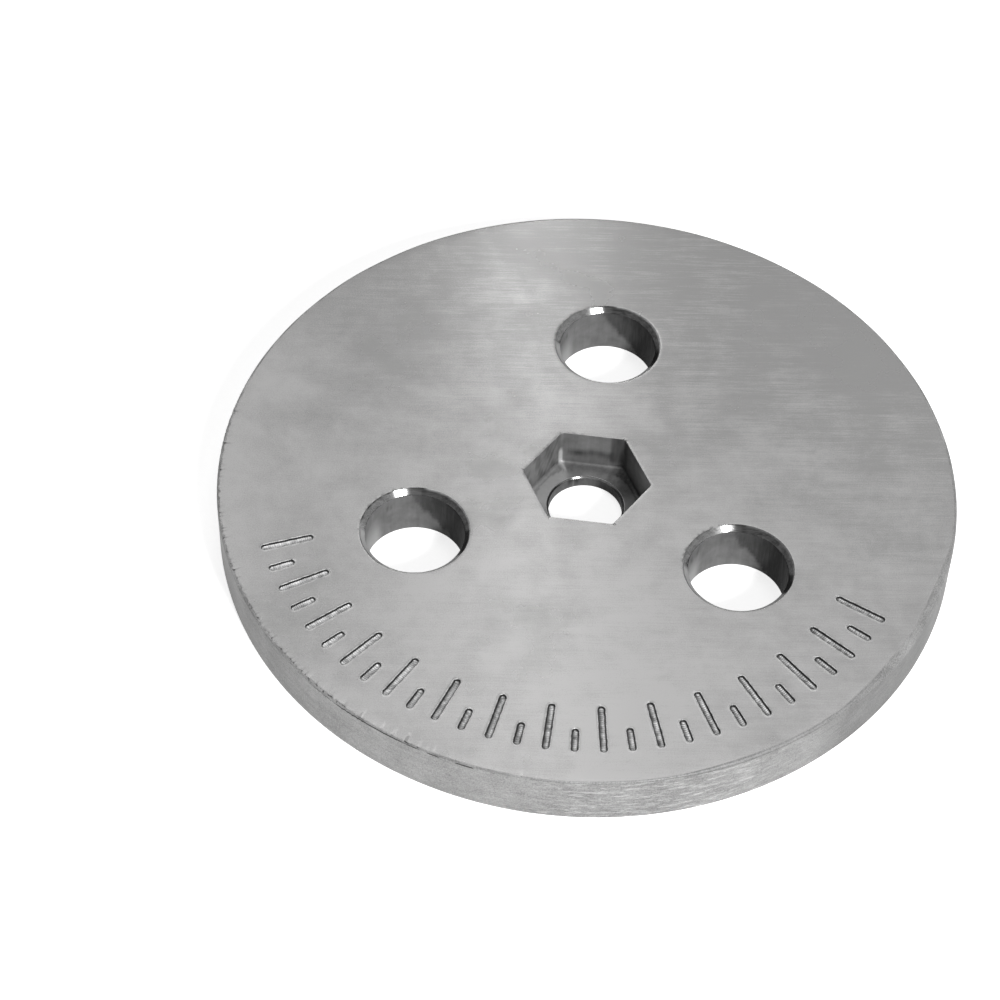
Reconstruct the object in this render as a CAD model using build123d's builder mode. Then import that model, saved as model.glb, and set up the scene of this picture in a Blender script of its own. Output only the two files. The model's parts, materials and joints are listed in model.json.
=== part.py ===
from build123d import *
import os

# A round sacrificial anode: one flat zinc disc that lies on its back face.
# Millimetres. The origin is the centre of the back face, +Z points out of the
# front face, and +Y points from the centre to the first fixing hole.

# Disc
disc_diameter = 95.25  # 3 3/4 in
disc_thickness = 7.4
front_edge_round = 0.6  # radius worn on the front corner of the rim
back_edge_bevel = 0.15  # 45 degree bevel on every corner at the back face

# Fixing holes, on a circle round the centre
fixing_hole_diameter = 12.7  # 1/2 in
fixing_hole_count = 3
fixing_circle_diameter = 47.625  # 1 7/8 in
fixing_first_angle = 90.0
fixing_mouth_bevel = 0.7  # 45 degree bevel at the front of each hole

# Captive bolt in the middle: a hexagonal recess for its head, a hole for its shank
bolt_head_across_flats = 14.29  # 9/16 in
bolt_head_clearance = 0.06
bolt_diameter = 9.525  # 3/8 in
bolt_clearance = 0.125
recess_floor_thickness = 1.8
recess_corner_round = 0.6  # radius of the six upright corners
recess_floor_round = 0.5  # radius where the walls meet the floor
shank_mouth_bevel = 0.25  # 45 degree bevel where the floor meets the shank hole

# Graduated arc of engraved radial marks below the centre
mark_width = 0.9  # across the groove, and across its round ends
mark_depth = 0.38
mark_rim_margin = 4.5  # from the outer ends of the marks to the rim
long_mark_length = 6.8
short_mark_length = 3.4
long_mark_count = 15
long_mark_pitch = 9.4  # degrees
mark_middle_angle = -90.0

# Sizes that follow from the ones above
disc_radius = disc_diameter / 2
fixing_hole_radius = fixing_hole_diameter / 2
fixing_circle_radius = fixing_circle_diameter / 2
recess_across_flats = bolt_head_across_flats + bolt_head_clearance
shank_hole_radius = (bolt_diameter + bolt_clearance) / 2
mark_outer_radius = disc_radius - mark_rim_margin


def mark_places(mark_length, mark_count):
    """The middles of a row of marks, which all end on the same outer circle."""
    sweep = long_mark_pitch * (mark_count - 1)
    return PolarLocations(
        radius=mark_outer_radius - mark_length / 2,
        count=mark_count,
        start_angle=mark_middle_angle - sweep / 2,
        angular_range=sweep,
        endpoint=True,
    )


with BuildPart() as anode_plate:
    # The disc is half of its section, turned round the Z axis.
    with BuildSketch(Plane.XZ) as half_section:
        Rectangle(disc_radius, disc_thickness, align=(Align.MIN, Align.MIN))
        outer_corners = half_section.vertices().group_by(Axis.X)[-1]
        fillet(outer_corners.sort_by(Axis.Y)[-1], front_edge_round)
    revolve(axis=Axis.Z)

    # Each fixing hole goes right through and is bevelled at its front mouth.
    with Locations((0, 0, disc_thickness)):
        with PolarLocations(fixing_circle_radius, fixing_hole_count, fixing_first_angle):
            CounterSinkHole(
                radius=fixing_hole_radius,
                counter_sink_radius=fixing_hole_radius + fixing_mouth_bevel,
                counter_sink_angle=90,
            )

    # The bolt head's recess has its flats facing the fixing holes.
    with BuildSketch(Plane.XY.offset(disc_thickness)):
        hexagon = RegularPolygon(recess_across_flats / 2, side_count=6, major_radius=False)
        fillet(hexagon.vertices(), recess_corner_round)
    extrude(amount=recess_floor_thickness - disc_thickness, mode=Mode.SUBTRACT)
    recess_floor = anode_plate.faces(Select.LAST).sort_by(Axis.Z)[0]
    fillet(recess_floor.edges(), recess_floor_round)

    # The shank hole goes through the floor of the recess.
    with Locations((0, 0, recess_floor_thickness)):
        Hole(shank_hole_radius)
    shank_mouth = anode_plate.edges(Select.LAST).filter_by(GeomType.CIRCLE).sort_by(Axis.Z)[-1]
    chamfer(shank_mouth, shank_mouth_bevel)

    # The rim and all four holes are bevelled where they meet the back face.
    back_face = anode_plate.faces().sort_by(Axis.Z)[0]
    chamfer(back_face.edges(), back_edge_bevel)

    # The marks are cut into the front face, long ones with a short one in each space.
    with BuildSketch(Plane.XY.offset(disc_thickness)):
        with mark_places(long_mark_length, long_mark_count):
            SlotOverall(long_mark_length, mark_width)
        with mark_places(short_mark_length, long_mark_count - 1):
            SlotOverall(short_mark_length, mark_width)
    extrude(amount=-mark_depth, mode=Mode.SUBTRACT)

anode_plate.part.label = "anode_plate"
os.makedirs("parts", exist_ok=True)
export_step(anode_plate.part, "parts/anode_plate.step")
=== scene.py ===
import json
import math

import bpy
import numpy as np
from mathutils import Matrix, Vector
from mathutils.geometry import delaunay_2d_cdt


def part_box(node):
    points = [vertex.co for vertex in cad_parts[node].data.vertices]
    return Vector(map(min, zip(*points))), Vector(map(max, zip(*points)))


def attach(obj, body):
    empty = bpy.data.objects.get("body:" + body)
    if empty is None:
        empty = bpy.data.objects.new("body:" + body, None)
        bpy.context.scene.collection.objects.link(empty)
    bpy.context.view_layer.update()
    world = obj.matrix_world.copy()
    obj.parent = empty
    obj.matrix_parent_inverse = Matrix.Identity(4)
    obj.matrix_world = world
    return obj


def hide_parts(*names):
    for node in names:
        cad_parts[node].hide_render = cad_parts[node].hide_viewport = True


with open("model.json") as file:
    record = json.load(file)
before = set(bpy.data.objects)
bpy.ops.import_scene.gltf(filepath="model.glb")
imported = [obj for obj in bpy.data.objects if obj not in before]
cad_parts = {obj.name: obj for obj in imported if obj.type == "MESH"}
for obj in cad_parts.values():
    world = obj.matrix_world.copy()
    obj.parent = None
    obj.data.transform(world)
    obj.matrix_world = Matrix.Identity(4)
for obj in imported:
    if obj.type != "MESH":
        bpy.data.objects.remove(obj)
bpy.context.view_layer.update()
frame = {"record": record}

# Every length in this file is in millimetres, apart from the nodes, the lamps and the camera.
lowest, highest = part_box("anode_plate")
mounts = {mount["name"]: mount for mount in frame["record"]["mounts"]}
discRadius = (highest.x - lowest.x) * 500
discTop = highest.z * 1000
print("stage 1: the frame is loaded, disc", round(2 * discRadius, 3), "by", round(discTop, 3))

disc = {
    "faceDrop": 0.036,  # the face lies this far under the highest burr
    "backBevel": 0.15,
    "backRows": (0.5, 0.9),  # rows of the flat back, out from the edge of a hole
    "backSoft": 0.05,
    "looseSpacing": 1.9,  # between the loose points of the face and of the back
    "brushingTurn": 7.6,  # degrees from +X
}
faceTop = discTop - disc["faceDrop"]
faceFinish, rimFinish, boreFinish, markFinish, backFinish, bevelFinish, recessFinish, cornerFinish = range(8)


def waves(angle, lowWave, highWave, seed):
    # Sum of cosines with whole wave numbers and seeded phases, scaled to a spread of one.
    rng = np.random.default_rng(seed)
    numbers = np.arange(lowWave, highWave)
    phases = rng.uniform(0, 2 * np.pi, numbers.size)
    sizes = rng.normal(0, 1, numbers.size)
    total = (sizes * np.cos(np.multiply.outer(angle, numbers) + phases)).sum(-1)
    return total / np.sqrt((sizes ** 2).sum() / 2)


def swell(angle, wave, copy=0):
    # A wave's middle value plus its spread times a sum of waves. It is given as middle value, spread, lowest
    # and highest wave number, and seed, to which the copy's number is added.
    middle, spread, lowWave, highWave, seed = wave
    return middle + spread * waves(angle, lowWave, highWave, seed + copy)


def zones(angle, places):
    # Sum of zones round a circle. Each is given as its amount, its start and end in degrees, and the soft
    # width outside them over which a smooth step takes it to nought.
    total = 0
    for amount, start, end, soft in places:
        middle, half = (start + end) / 2, (end - start) / 2
        away = np.abs((np.degrees(angle) - middle + 180) % 360 - 180) - half
        t = np.clip(1 - away / soft, 0, 1)
        total = total + amount * (t * t * (3 - 2 * t))
    return total


def between(value, pairs):
    # Straight lines between pairs of a place and an amount.
    places, amounts = zip(*pairs)
    return np.interp(value, places, amounts)


def bell(value, middle, width):
    # One at the middle, and e to the minus square of the distance from it, counted in widths.
    return np.exp(-((value - middle) / width) ** 2)


def facing(angle):
    # Unit vectors at the given angles.
    return np.stack([np.cos(angle), np.sin(angle)], 1)


def softened(corners, count=5):
    # A polyline of distances and heights. A corner's third value is the length of its legs that a quadratic
    # curve, with the corner as its handle, replaces. Nought leaves it sharp.
    corners = np.asarray(corners, float)
    flat = corners[:, :2]
    points = [flat[0]]
    for before, corner, after, length in zip(flat, flat[1:], flat[2:], corners[1:, 2]):
        if length == 0:
            points.append(corner)
            continue
        start = corner + (before - corner) * length / np.linalg.norm(before - corner)
        end = corner + (after - corner) * length / np.linalg.norm(after - corner)
        t = np.linspace(0, 1, count)[:, None]
        points += list((1 - t) ** 2 * start + 2 * t * (1 - t) * corner + t ** 2 * end)
    points.append(flat[-1])
    return np.array(points)


def circleColumns(centre, count):
    # Spine and outward direction of a circle's columns: the spine is its centre, and the last repeats the
    # first.
    angle = np.linspace(0, 2 * np.pi, count + 1)
    outward = facing(angle)
    return np.broadcast_to(centre, outward.shape), outward, angle


def closedColumns(spine, turn):
    # Spine and outward direction of a loop, with its first column repeated after a full turn.
    spine, turn = np.append(spine, spine[:1], 0), np.append(turn, turn[0] + 2 * np.pi)
    return spine, facing(turn), turn


def hexagonColumns(acrossFlats, cornerRound, perSide, perCorner):
    # Columns of a hexagon with round corners: the spine is the hexagon made smaller by the corner radius,
    # walked side by side, and the direction turns by 60 degrees at each of its corners.
    side = np.arange(6)
    corner = (acrossFlats / 2 - cornerRound) / math.cos(math.pi / 6)
    cornerAngle = np.radians(60 * side)
    flatAngle = np.radians(60 * side + 30)
    t = np.linspace(0, 1, perSide, endpoint=False)
    start = facing(cornerAngle) * corner
    end = np.roll(start, -1, 0)
    flats = start[:, None] + (end - start)[:, None] * t[None, :, None]
    flatTurn = np.repeat(flatAngle[:, None], perSide, 1)
    bends = np.repeat(end[:, None], perCorner, 1)
    bendTurn = flatAngle[:, None] + np.radians(60) * np.linspace(0, 1, perCorner, endpoint=False)[None]
    spine = np.concatenate([flats, bends], 1).reshape(-1, 2)
    return closedColumns(spine, np.concatenate([flatTurn, bendTurn], 1).reshape(-1))


def strokeColumns(halfSpan, perSide, perEnd):
    # Columns of a slot along X: out along one side, round the end by half a turn, and back.
    along = np.linspace(-halfSpan, halfSpan, perSide, endpoint=False)
    bend = np.linspace(0, np.pi, perEnd, endpoint=False)
    x = np.concatenate([along, np.full(perEnd, halfSpan), -along, np.full(perEnd, -halfSpan)])
    sides = np.full(perSide, -np.pi / 2), np.full(perSide, np.pi / 2)
    turn = np.concatenate([sides[0], bend - np.pi / 2, sides[1], bend + np.pi / 2])
    return closedColumns(np.stack([x, np.zeros_like(x)], 1), turn)


def carried(spine, outward, distance, height):
    # A profile carried round a loop: each point is the spine's plus the outward direction times the distance.
    shape = np.broadcast_shapes(np.shape(distance), np.shape(height), (1, len(spine)))
    distance, height = np.broadcast_to(distance, shape), np.broadcast_to(height, shape)
    flat = spine[None] + outward[None] * distance[..., None]
    return np.concatenate([flat, height[..., None]], 2)


def uprightRun(points, run):
    # A wall's own flat coordinates: its height, and the run round it.
    height = points[..., 2]
    return np.stack([height, np.broadcast_to(run, height.shape)], 2)


def banded(rows, first, middle, last=()):
    # One finish for each strip between two rows: the given ones at the start and the end, and one between.
    return list(first) + [middle] * (rows - 1 - len(first) - len(last)) + list(last)


class Skin:
    # Gathers grids and flat sheets of one closed surface, then welds their points by place.
    def __init__(self):
        self.points, self.own, self.wear, self.stain = [], [], [], []
        self.triangles, self.finish = [], []
        self.total = 0

    def grid(self, points, own, wear, bands, inward, stain):
        # Two triangles for each cell of a grid; bands holds one finish for each strip between two rows.
        rows, columns = points.shape[:2]
        index = self.total + np.arange(rows * columns).reshape(rows, columns)
        a, b, c, d = index[:-1, :-1], index[1:, :-1], index[1:, 1:], index[:-1, 1:]
        cells = np.stack([a, b, c, a, c, d], -1).reshape(rows - 1, columns - 1, 2, 3)
        if inward:
            cells = cells[..., ::-1]
        self.points.append(points.reshape(-1, 3))
        self.own.append(np.broadcast_to(own, (rows, columns, 2)).reshape(-1, 2))
        self.wear.append(np.broadcast_to(wear, (rows, columns)).reshape(-1))
        self.stain.append(np.broadcast_to(stain, (rows, columns)).reshape(-1))
        self.triangles.append(cells.reshape(-1, 3))
        self.finish.append(np.repeat(np.asarray(bands), (columns - 1) * 2))
        self.total += rows * columns
        return index

    def strew(self, loops, spacing, reach=60, rowShare=0.87, nudge=0.001):
        # Loose points on a staggered grid: those inside the first loop and outside the rest, by the count of
        # crossings of a line towards +X, and at least half a spacing from the points of every loop. The nudge
        # keeps the lines off the loops' own points.
        points = np.concatenate(self.points)
        row, column = np.mgrid[-reach:reach + 1, -reach:reach + 1]
        across = (column + 0.5 * (row % 2)) * spacing
        flat = np.stack([across, row * spacing * rowShare + nudge], -1).reshape(-1, 2)
        for k, loop in enumerate(loops):
            ring = points[loop[:-1], :2]
            after = np.roll(ring, -1, 0)
            spans = (ring[:, 1] > flat[:, 1:]) != (after[:, 1] > flat[:, 1:])
            rise = np.where(after[:, 1] == ring[:, 1], 1.0, after[:, 1] - ring[:, 1])
            crossing = ring[:, 0] + (flat[:, 1:] - ring[:, 1]) * (after[:, 0] - ring[:, 0]) / rise
            inside = (spans & (crossing > flat[:, :1])).sum(1) % 2 == 1
            clear = (((flat[:, None] - ring) ** 2).sum(2).min(1)) > spacing ** 2 / 4
            flat = flat[(inside == (k == 0)) & clear]
        self.points.append(np.column_stack([flat, np.full(len(flat), points[loops[0][0], 2])]))
        self.own.append(flat)
        self.wear.append(np.zeros(len(flat)))
        self.stain.append(np.zeros(len(flat)))
        self.total += len(flat)
        return self.total - len(flat) + np.arange(len(flat))

    def sheet(self, loops, finish, upward, bulge=0.002):
        # Delaunay triangles between the first loop and the rest. For this, the points of each inner loop move
        # towards its centre by the bulge times their distance, times the square of their share of the
        # farthest one's. So a straight side bows out, and triangles with all their points on one inner loop
        # lie inside it. They are left out.
        loose = self.strew(loops, disc["looseSpacing"])
        index = np.concatenate([loop[:-1] for loop in loops] + [loose])
        sizes = np.array([len(loop) - 1 for loop in loops] + [len(loose)])
        group, ends = np.repeat(np.arange(len(sizes)), sizes), np.cumsum(sizes)
        owner = np.where(group == len(loops), 0, group)
        places = np.concatenate(self.points)[index][:, :2]
        centres = (np.add.reduceat(places, ends - sizes) / sizes[:, None])[group]
        reach = ((places - centres) ** 2).sum(1)
        farthest = np.maximum.reduceat(reach, ends - sizes)[group]
        bulged = places - (places - centres) * (bulge * (owner > 0) * reach / farthest)[:, None]
        follow = np.arange(1, len(index) + 1)
        follow[ends - 1] = ends - sizes
        edges = np.stack([np.arange(len(index)), follow], 1)[:len(index) - len(loose)]
        made = delaunay_2d_cdt(bulged.tolist(), edges.tolist(), [], 0, 1e-7, True)
        source = np.array([origin[0] for origin in made[3]])
        triangles = source[np.array(made[2])]
        of = owner[triangles]
        triangles = triangles[(of[:, 0] != of[:, 1]) | (of[:, 0] != of[:, 2]) | (of[:, 0] == 0)]
        a, b, c = (places[triangles[:, k]] for k in range(3))
        facesUp = np.cross(b - a, c - a) > 0
        triangles = np.where(facesUp[:, None] == upward, triangles, triangles[:, ::-1])
        self.triangles.append(index[triangles])
        self.finish.append(np.full(len(triangles), finish))

    def build(self, name, finishes):
        # Welds points that are the same to five decimals and drops triangles that have shrunk to a line. The
        # UV map is the place turned to the brushing on the flats, and each wall's own coordinates elsewhere,
        # in tenths of a metre.
        points, own = np.concatenate(self.points), np.concatenate(self.own)
        triangles, finish = np.concatenate(self.triangles), np.concatenate(self.finish)
        rounded = np.round(points, 5)
        spots, first, weld = np.unique(rounded, axis=0, return_index=True, return_inverse=True)
        welded = weld.reshape(-1)[triangles]
        whole = (welded != np.roll(welded, 1, 1)).all(1)
        triangles, welded, finish = triangles[whole], welded[whole], finish[whole]
        turn = math.radians(disc["brushingTurn"])
        acrossLines = -points[:, 0] * math.sin(turn) + points[:, 1] * math.cos(turn)
        alongLines = points[:, 0] * math.cos(turn) + points[:, 1] * math.sin(turn)
        turned = np.stack([acrossLines, alongLines], 1)
        flat = np.isin(finish, [faceFinish, backFinish])
        run = np.where(flat[:, None, None], turned[triangles], own[triangles]) / 100
        mesh = bpy.data.meshes.new(name)
        mesh.vertices.add(len(spots))
        mesh.vertices.foreach_set("co", (spots * 0.001).ravel())
        mesh.loops.add(welded.size)
        mesh.loops.foreach_set("vertex_index", welded.ravel())
        mesh.polygons.add(len(welded))
        mesh.polygons.foreach_set("loop_start", np.arange(0, welded.size, 3))
        mesh.polygons.foreach_set("material_index", finish)
        mesh.update(calc_edges=True)
        mesh.uv_layers.new(name="grainRun").data.foreach_set("uv", run.reshape(-1))
        # This attribute holds real stains together with painted shade above nought and painted light below it.
        for key, values in (("wear", self.wear), ("stain", self.stain)):
            made = mesh.attributes.new(key, "FLOAT", "POINT")
            made.data.foreach_set("value", np.concatenate(values)[first])
        mesh.shade_smooth()
        mesh.validate()
        for material in finishes:
            mesh.materials.append(material)
        piece = bpy.data.objects.new(name, mesh)
        bpy.context.collection.objects.link(piece)
        print("   ", name, len(spots), "points", len(welded), "triangles")
        return piece


# In the dictionaries of shapes, zones are given as zones takes them, and waves as swell takes them. Sides are
# named as the camera sees them. A stain above nought is dark, and one below it is pale; most of it is painted
# shade and painted light, and the rest real stains.
rimShape = {
    "columns": 1320,
    "faceRows": (2.2, 1.8),  # in from the edge
    "cornerRows": 11,
    "cornerRound": 0.42,  # usual radius of the worn front corner
    "rolledRound": 0.95,  # where it is rolled over, on the right
    "rolled": [(1.0, -36, -11, 7)],
    "broken": [(0.35, 184, 230, 12), (0.8, -126, -110, 8), (0.5, -110, -87, 6)],
    "brokenLoss": 0.12,  # off the radius where it is broken
    "sharp": [(0.45, -116, -72, 10)],
    "worn": [(1.0, 176, 238, 14)],
    "lumps": (1.0, 0.06, 3, 30, 21),
    "wornLumps": (0.08, 0.21, 120, 560, 26),
    "chips": (-0.45, 1.0, 90, 580, 22),
    "lowChips": (-0.4, 1.0, 120, 620, 23),
    "largestChip": 2.2,
    "chipDepth": 0.085,
    "chipSlant": 0.7,  # share of a chip's depth that goes in, and down
    "foldSteps": (0.04, 0.10, 0.18, 0.27, 0.36),  # down from the corner
    "foldDents": (0.02, 0.08, 0.12, 0.08, 0.0),
    # zone, waves and least share of each fold under the corner
    "folds": [
        ((1.0, -128, -110, 3), (0.9, 0.4, 8, 60, 24), 0.2),
        ((0.8, -106, -96, 6), (0.3, 0.6, 20, 90, 25), 0.0),
    ],
    "sideShares": (0.08, 0.3, 0.55, 0.8, 1.0),
    "sideEnd": 0.04,  # over the back bevel
    "hollow": 0.012,
    "hollowWaves": (1.0, 1.0, 5, 40, 25),
    "backSoft": 0.04,
    "backEnd": 1.2,
    "chipWear": 0.9,
    "brokenWear": 0.15,
    "wornWear": (0.33, 0.24, 120, 620, 27),
    "wornRows": 4,
    # how dark the painted shadow in the folds is, for each unit of dent
    "foldWear": 12,
    # painted shade on the right of the corner and the side, painted light on the corner's left and back, and
    # painted light on the side near the front, where it shows the pale scratches
    "cornerStain": [(0.12, -100, -72, 14), (0.3, -64, -38, 8), (-0.4, 20, 236, 16)],
    "sideStain": [(0.42, -50, 60, 22), (-0.95, -80, -58, 18)],
}


def buildRim(skin):
    # One profile turned round the axis. Its front corner is an arc: in by the radius times one minus the sine
    # of the bend, and down by the radius times one minus its cosine, less the chips. The radius, the chips,
    # the folds under the corner and the side's slight hollow change with the angle.
    shape = rimShape
    spine, outward, angle = circleColumns((0, 0), shape["columns"])
    broken, worn = zones(angle, shape["broken"]), zones(angle, shape["worn"])
    extra = shape["rolledRound"] - shape["cornerRound"]
    radius = shape["cornerRound"] + extra * zones(angle, shape["rolled"])
    radius = (radius - shape["brokenLoss"] * np.clip(broken, 0, 1)) * (1 - zones(angle, shape["sharp"]))
    radius = radius * (swell(angle, shape["lumps"]) + worn * swell(angle, shape["wornLumps"]))

    bend = np.linspace(0, 1, shape["cornerRows"])[:, None]
    chips, lowChips = (np.clip(swell(angle, shape[key]), 0, shape["largestChip"]) * broken * shape["chipDepth"]
                       for key in ("chips", "lowChips"))
    bite = np.sin(np.pi * bend) ** 1.5 * (chips * (1 - bend) + lowChips * bend)
    cornerDistance = discRadius - (1 - np.sin(bend * np.pi / 2)) * radius - bite * shape["chipSlant"]
    cornerHeight = faceTop - (1 - np.cos(bend * np.pi / 2)) * radius - bite * shape["chipSlant"]

    fold = sum(zones(angle, [place]) * np.clip(swell(angle, wave), least, 1)
               for place, wave, least in shape["folds"])
    dent = np.array(shape["foldDents"])[:, None] * fold
    foldHeight = faceTop - radius - np.array(shape["foldSteps"])[:, None]
    down = np.array(shape["sideShares"])[:, None]
    sideHeight = (1 - down) * foldHeight[-1:] + down * (disc["backBevel"] + shape["sideEnd"])
    hollow = shape["hollow"] * swell(angle, shape["hollowWaves"])[None] * np.sin(np.pi * down) ** 2
    sideDistance = np.minimum(discRadius - hollow, discRadius)
    bevel, soft = disc["backBevel"], shape["backSoft"]
    backRows = softened([(discRadius, 2 * bevel, 0), (discRadius, bevel, soft), (discRadius - bevel, 0, soft),
                         (discRadius - disc["backRows"][0], 0, 0)])[1:]
    backRows = np.append(backRows, [[discRadius - shape["backEnd"], 0]], 0)

    wide = np.ones((1, angle.size))
    faceRows = [wide * (discRadius - step) for step in shape["faceRows"]]
    faceHeights = [wide * faceTop] * len(faceRows)
    distances = [cornerDistance, discRadius - dent, sideDistance, backRows[:, :1] * wide]
    heights = [cornerHeight, foldHeight, sideHeight, backRows[:, 1:] * wide]
    distance, height = np.concatenate(faceRows + distances), np.concatenate(faceHeights + heights)
    points = carried(spine, outward, distance, height)
    top = len(faceRows)
    under = top + len(bend)
    # Dirt in chips, broken and worn places, and a painted shadow in the folds under the corner, all through
    # the dirt grey.
    wear = np.zeros(distance.shape)
    wear[top:under] = shape["chipWear"] * bite / shape["chipDepth"]
    wear[top:under] += shape["brokenWear"] * np.sin(np.pi * bend) * broken
    wear[top:top + shape["wornRows"]] += worn * np.clip(swell(angle, shape["wornWear"]), 0, 1)
    wear[under:under + len(dent)] = dent * shape["foldWear"]
    # painted shade and painted light on the corner and the side
    stain = np.zeros(distance.shape)
    stain[top + 1:under] = zones(angle, shape["cornerStain"])
    stain[under:] = zones(angle, shape["sideStain"])
    bands = banded(len(points), [faceFinish] * top + [cornerFinish] * len(bend), rimFinish, [backFinish] * 3)
    return skin.grid(points, uprightRun(points, angle * discRadius), wear, bands, inward=False, stain=stain)


holeShape = {
    **mounts["fixing_holes"]["dims"],  # the record's hole_r_mm, pcd_mm and count
    "columns": 144,
    "bevel": 0.7,
    "faceRows": (0.7, 0.4),  # out from the mouth
    "bevelSteps": (0.13, 0.19, 0.3, 0.45),
    "mouthSoft": 0.06,
    "bevelSoft": 0.09,
    "boreRows": (0.4, 0.5, 14),  # the first one's depth under the bevel, the last one's height, their count
    "uneven": (0.0, 0.012, 2, 30, 31),
    # painted reflection of the shaded floor on the wall: where its dark part starts, in degrees round the hole
    # and height, and how dark it is
    "darkStart": [(53, -2), (54, 0.2), (63, 0.8), (71, 1.7), (79, 2.7), (86, 3.4), (93, 4.2), (97.5, 5.2),
                  (102, 6.4), (110, 9.0)],
    "darkWaves": (0.0, 0.25, 6, 40, 51),
    "darkSoft": 0.7,
    "darkWall": [(1.0, -50, 110, 20)],
    "darkDepth": [(-50, 1.0), (40, 1.0), (62, 0.8), (80, 0.62), (100, 0.45)],
    # painted light low on the left of the wall
    "paleWall": [(0.9, 152, 215, 14)],
    "paleHeight": (5.0, 3.0),  # where it ends, and the soft width under that
    "patches": (-0.8, 1.0, 20, 70, 81),
    "patchHeight": (5.2, 0.7),
    "patchStain": 0.6,
    # painted reflection of the bevel: zone and tone of each side, and what its outer rim adds on each of the
    # holes;
    # the right, far and left sides are darkened, the near side paled, and the right rim is a painted highlight
    "right": [(1.0, -22, 84, 8)], "rightTone": 0.95, "rightRim": (-0.95, -0.95, -0.35),
    "far": [(1.0, 90, 104, 6)], "farTone": 0.85, "farRim": (0.15, 0.15, 0.15),
    "left": [(1.0, 128, 172, 8)], "leftTone": 0.3, "leftRim": (0.25, 0.7, 0.25),
    "near": [(1.0, 190, 330, 12)], "nearRim": [(0.9, 180, 262, 12)],
    "rimWidth": 0.16,
    "rimSoft": 0.06,
    "ragged": (0.75, 0.35, 10, 80, 71),
    "dirt": [(1.0, 112, 186, 10)],
    "dirtWaves": (0.75, 0.4, 8, 60, 91),
    "dirtReach": 0.6,
}
holeRadius = holeShape["hole_r_mm"]
mouthRadius = holeRadius + holeShape["bevel"]
bevelEnd = faceTop - holeShape["bevel"]


def holeProfile():
    # Distances and heights of a fixing hole: face, bevel, bore, back bevel and back.
    rowStart, rowEnd, rowCount = holeShape["boreRows"]
    return softened(
        [(mouthRadius + step, faceTop, 0) for step in holeShape["faceRows"]]
        + [(mouthRadius, faceTop, holeShape["mouthSoft"])]
        + [(mouthRadius - step, faceTop - step, 0) for step in holeShape["bevelSteps"]]
        + [(holeRadius, bevelEnd, holeShape["bevelSoft"])]
        + [(holeRadius, height, 0) for height in np.linspace(bevelEnd - rowStart, rowEnd, rowCount)]
        + [(holeRadius, disc["backBevel"], disc["backSoft"])]
        + [(holeRadius + disc["backBevel"], 0, disc["backSoft"])]
        + [(holeRadius + step, 0, 0) for step in disc["backRows"]])


def holePaintedLightAndStain(distance, height, angle, k):
    # The wall carries a painted reflection of the shaded floor, dark above a line that climbs round the hole,
    # painted light low on the left, and real patches on the left. The bevel has one painted tone of reflection
    # for each side, changed on its outer rim.
    shape = holeShape
    turned = (np.degrees(angle) + 75) % 360 - 75
    start = between(turned, shape["darkStart"]) + swell(angle, shape["darkWaves"], k)
    wall = np.clip((height - start) / shape["darkSoft"], 0, 1) * zones(angle, shape["darkWall"])
    wall = wall * between(turned, shape["darkDepth"])
    paleEnd, paleSoft = shape["paleHeight"]
    wall = wall - zones(angle, shape["paleWall"]) * np.clip((paleEnd - height) / paleSoft, 0, 1)
    patchMiddle, patchHalf = shape["patchHeight"]
    patches = zones(angle, shape["left"]) * np.clip(swell(angle, shape["patches"], k), 0, 1)
    patches = patches * np.clip(1 - np.abs(height - patchMiddle) / patchHalf, 0, 1)
    outer = np.clip((distance - mouthRadius + shape["rimWidth"]) / shape["rimSoft"], 0, 1)
    ragged = np.clip(swell(angle, shape["ragged"], k), 0, 1)
    bevel = (zones(angle, shape["right"]) * (shape["rightTone"] + shape["rightRim"][k] * outer)
             + zones(angle, shape["far"]) * (shape["farTone"] + shape["farRim"][k] * outer)
             + zones(angle, shape["left"]) * (shape["leftTone"] + shape["leftRim"][k] * outer * ragged)
             - zones(angle, shape["near"]) * (1 - outer * zones(angle, shape["nearRim"])))
    onBevel = (height > bevelEnd - 0.02) & (distance < mouthRadius + 0.05)
    return np.clip(np.where(onBevel, bevel, wall + shape["patchStain"] * patches), -1, 1)


def buildHole(skin, k):
    # A bevelled bore: the profile carried round the hole's axis, with a slightly uneven bevel.
    turn = np.radians(90 + 360 / holeShape["count"] * k)
    centre = np.array([math.cos(turn), math.sin(turn)]) * holeShape["pcd_mm"] / 2
    spine, outward, angle = circleColumns(centre, holeShape["columns"])
    profile = holeProfile()
    distance, height = profile[:, :1], profile[:, 1:]
    cut = (height < faceTop - 0.01) & (height > bevelEnd + 0.01)
    points = carried(spine, outward, distance + swell(angle, holeShape["uneven"], k)[None] * cut, height)
    onFace = (height > faceTop - 0.01) * np.clip(1 - (distance - mouthRadius) / holeShape["dirtReach"], 0, 1)
    dirt = onFace * zones(angle, holeShape["dirt"]) * np.clip(swell(angle, holeShape["dirtWaves"], k), 0, 1)
    middle = (profile[1:] + profile[:-1]) / 2
    onBevel = (middle[:, 1] > bevelEnd / 2) & (middle[:, 0] > holeRadius + 0.02)
    bands = np.select([middle[:, 1] > faceTop - 0.002, onBevel, middle[:, 1] > disc["backBevel"] + 0.02],
                      [faceFinish, bevelFinish, boreFinish], backFinish)
    # painted reflection and painted light on the hole, with real patches
    stain = holePaintedLightAndStain(distance, height, angle, k)
    return skin.grid(points, uprightRun(points, angle * holeRadius), dirt, bands, inward=True, stain=stain)


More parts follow.
